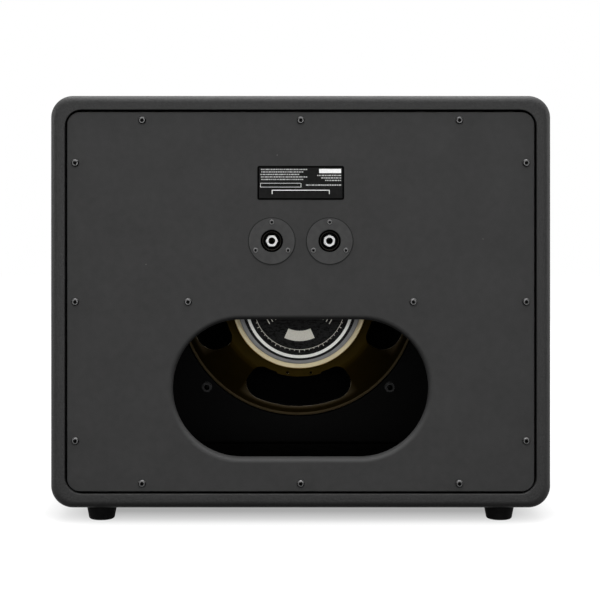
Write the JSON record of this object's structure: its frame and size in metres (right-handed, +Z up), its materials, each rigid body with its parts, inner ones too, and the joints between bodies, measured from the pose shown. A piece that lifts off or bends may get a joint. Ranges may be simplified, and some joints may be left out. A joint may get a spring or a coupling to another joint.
{
  "type": "guitar speaker cabinet",
  "caption": "Open-back guitar speaker cabinet: vinyl-covered ply shell on rubber feet, stadium port, recessed jack dishes, framed grille and a twelve-inch driver with a moving cone.",
  "frame": {"origin": "on the floor under the middle of the cabinet, in the plane of the feet", "axes": "+X to the right seen from the grille side, +Y out of the open back, +Z up"},
  "size_m": [0.502, 0.265, 0.428],
  "materials": {
    "black_vinyl": "fine pebbled black vinyl, satin",
    "plywood": "birch plywood, black stain",
    "black_batten": "softwood batten, black stain",
    "black_board": "plywood, matt black paint",
    "panel_finish": "board with a fine-textured matt black-grey face",
    "grille_weave": "black woven grille cloth",
    "hook_and_loop": "black hook and loop tape",
    "black_screw_steel": "black oxide steel",
    "plate_foil": "printed black film",
    "dish_plastic": "moulded black plastic, light texture",
    "jack_nickel": "bright nickel plate",
    "phenolic": "brown phenolic board",
    "contact_brass": "tinned brass strip",
    "red_wire": "red wire jacket",
    "black_wire": "black wire jacket",
    "gold_paint": "satin gold-bronze lacquer on pressed steel",
    "gasket_card": "dark card gasket",
    "plate_steel": "zinc plated steel",
    "magnet_paint": "ferrite ring with tan gold lacquer",
    "label_paper": "printed black and cream label",
    "former_paper": "brown former paper",
    "coil_copper": "varnished copper winding",
    "spider_cloth": "varnished yellow cloth",
    "cone_paper": "dark pressed paper pulp",
    "surround_cloth": "doped black cloth",
    "tinsel_copper": "braided tinsel wire",
    "foot_rubber": "black moulded rubber"
  },
  "bodies": {
    "cabinet": {"back_plate": "plate_steel", "baffle_board": "black_board", "baffle_screws": "black_screw_steel", "basket_rivets": "plate_steel", "bottom_board": "plywood", "corner_post_bottom_left": "plywood", "corner_post_bottom_right": "plywood", "corner_post_top_left": "plywood", "corner_post_top_right": "plywood", "foot_screws": "black_screw_steel", "front_cleats": "black_batten", "front_left_foot": "foot_rubber", "front_plate": "plate_steel", "front_right_foot": "foot_rubber", "grille_cloth": "grille_weave", "grille_fixing_pads": "hook_and_loop", "grille_frame": "black_board", "jack_dish_screws": "black_screw_steel", "jack_link_wires": "black_wire", "jack_tip_lugs": "contact_brass", "left_jack_dish": "dish_plastic", "left_jack_frame": "jack_nickel", "left_jack_insulator": "phenolic", "left_jack_nut": "jack_nickel", "left_side_board": "plywood", "magnet_label": "label_paper", "magnet_ring": "magnet_paint", "push_on_connectors": "contact_brass", "rating_plate": "plate_foil", "rear_brace": "black_batten", "rear_cleats": "black_batten", "rear_left_foot": "foot_rubber", "rear_panel": "panel_finish", "rear_panel_screws": "black_screw_steel", "rear_right_foot": "foot_rubber", "right_jack_dish": "dish_plastic", "right_jack_frame": "jack_nickel", "right_jack_insulator": "phenolic", "right_jack_nut": "jack_nickel", "right_side_board": "plywood", "speaker_basket": "gold_paint", "speaker_bolts": "black_screw_steel", "speaker_gasket": "gasket_card", "speaker_nuts": "black_screw_steel", "speaker_wire_negative": "black_wire", "speaker_wire_positive": "red_wire", "terminal_board": "phenolic", "terminal_tags": "contact_brass", "top_board": "plywood", "vinyl_covering": "black_vinyl"},
    "cone_assembly": {"speaker_cone": "cone_paper", "dust_cap": "cone_paper", "voice_coil_former": "former_paper", "voice_coil_winding": "coil_copper", "cone_surround": "surround_cloth", "spider": "spider_cloth", "tinsel_leads": "tinsel_copper"},
    "left_tip_contact": {"left_jack_tip_spring": "contact_brass"},
    "right_tip_contact": {"right_jack_tip_spring": "contact_brass"}
  },
  "joints": [
    {"name": "cone_travel", "type": "slide", "parent": "cabinet", "child": "cone_assembly", "axis": [0, -1, 0], "range_m": [-0.004, 0.004], "stiffness_N_per_m": 7800, "deforming": ["cone_surround", "spider", "tinsel_leads"]},
    {"name": "left_tip_contact_flex", "type": "hinge", "parent": "cabinet", "child": "left_tip_contact", "pos_m": [-0.029, 0.1045, 0.27455], "axis": [1, 0, 0], "range_deg": [0, 12], "stiffness_Nm_per_rad": 0.5},
    {"name": "right_tip_contact_flex", "type": "hinge", "parent": "cabinet", "child": "right_tip_contact", "pos_m": [0.029, 0.1045, 0.27455], "axis": [1, 0, 0], "range_deg": [0, 12], "stiffness_Nm_per_rad": 0.5}
  ]
}
